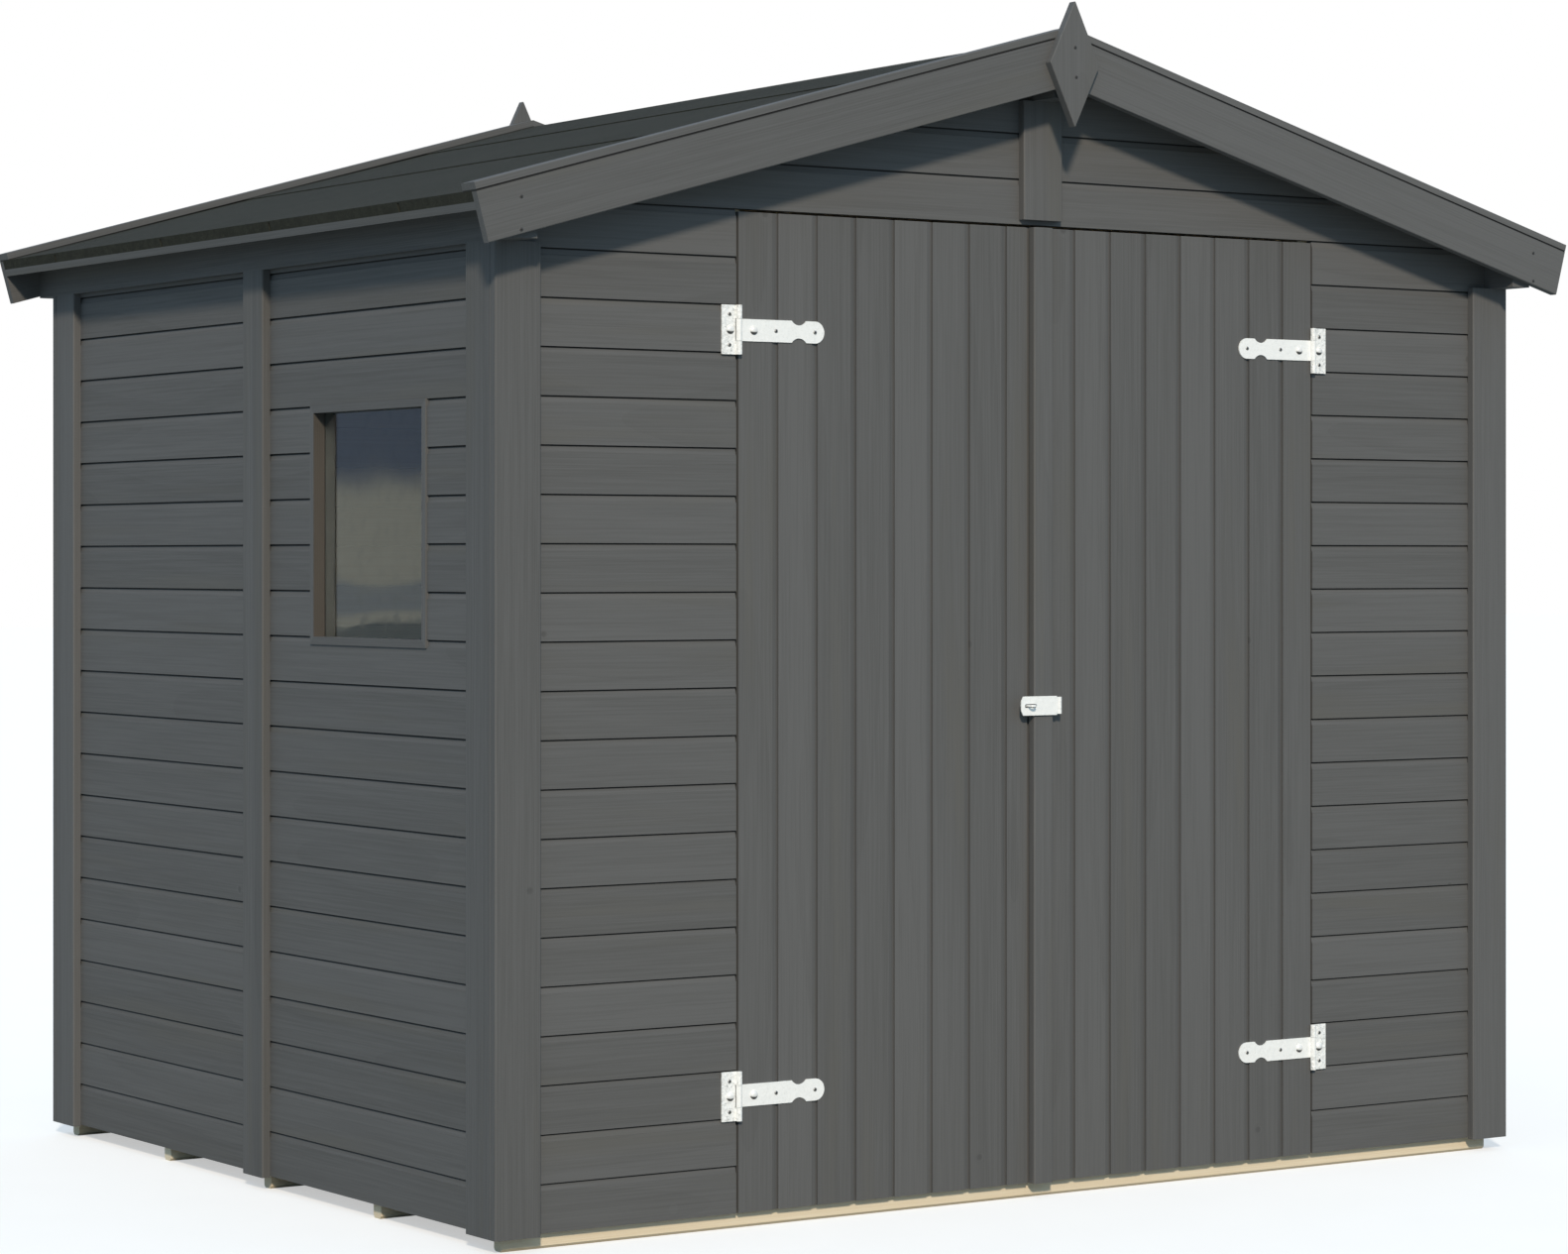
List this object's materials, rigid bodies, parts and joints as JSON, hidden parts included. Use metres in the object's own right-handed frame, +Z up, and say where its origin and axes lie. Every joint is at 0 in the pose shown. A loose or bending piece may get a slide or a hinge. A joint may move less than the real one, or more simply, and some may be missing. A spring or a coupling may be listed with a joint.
{
  "type": "garden shed",
  "caption": "Timber garden shed with horizontal boards, a low gable roof with felt, a double door on strap hinges and a small side window.",
  "frame": {"origin": "on the ground under the middle of the floor", "axes": "+Z up, +Y from the front with the doors to the back, +X to the right as seen from the front"},
  "size_m": [2.4914, 2.015, 2.1934],
  "materials": {
    "painted_wood": "spruce boards with a semi-opaque dark grey stain, fine grain",
    "bare_wood": "bare planed softwood",
    "roofing_felt": "bitumen roofing felt, dark green-grey, fine grit",
    "zinc_steel": "bright galvanised sheet steel with faint spangle",
    "glazing": "clear pane"
  },
  "bodies": {
    "shed": {"floor_bearers": "bare_wood", "floor_boards": "bare_wood", "side_rails": "bare_wood", "side_studs": "bare_wood", "end_posts": "bare_wood", "end_rails": "bare_wood", "gable_rails": "bare_wood", "front_wall_left": "painted_wood", "front_wall_right": "painted_wood", "front_gable": "painted_wood", "left_wall_front": "painted_wood", "left_wall_back": "painted_wood", "right_wall_front": "painted_wood", "right_wall_back": "painted_wood", "back_wall": "painted_wood", "back_gable": "painted_wood", "end_corner_boards": "painted_wood", "side_corner_boards": "painted_wood", "side_joint_boards": "painted_wood", "gable_centre_boards": "painted_wood", "eaves_beams": "painted_wood", "ridge_beam": "painted_wood", "eaves_strips": "painted_wood", "left_fascias": "painted_wood", "right_fascias": "painted_wood", "left_capping_strips": "painted_wood", "right_capping_strips": "painted_wood", "finials": "painted_wood", "window_lining": "painted_wood", "roof_deck_left": "bare_wood", "roof_deck_right": "bare_wood", "door_stops": "bare_wood", "roofing_felt": "roofing_felt", "window_glass": "glazing", "hinge_plates": "zinc_steel"},
    "left_door": {"left_door_boards": "painted_wood", "left_door_ledges": "bare_wood", "left_door_straps": "zinc_steel", "hasp_staple": "zinc_steel"},
    "right_door": {"right_door_boards": "painted_wood", "right_door_ledges": "bare_wood", "right_door_straps": "zinc_steel", "door_cover_strip": "painted_wood", "hasp_base": "zinc_steel"},
    "hasp": {"hasp_flap": "zinc_steel"}
  },
  "joints": [
    {"name": "right_door_hinge", "type": "hinge", "parent": "shed", "child": "right_door", "pos_m": [0.662, -0.901, 0.9075], "axis": [0, 0, 1], "range_deg": [0, 150]},
    {"name": "left_door_hinge", "type": "hinge", "parent": "shed", "child": "left_door", "pos_m": [-0.662, -0.901, 0.9075], "axis": [0, 0, 1], "range_deg": [-105, 0]},
    {"name": "hasp_hinge", "type": "hinge", "parent": "right_door", "child": "hasp", "pos_m": [0.035, -0.91375, 0.908], "axis": [0, 0, 1], "range_deg": [0, 170]}
  ],
  "couplings": [
    {"joint": "left_door_hinge", "follows": "right_door_hinge", "ratio": -0.7}
  ]
}
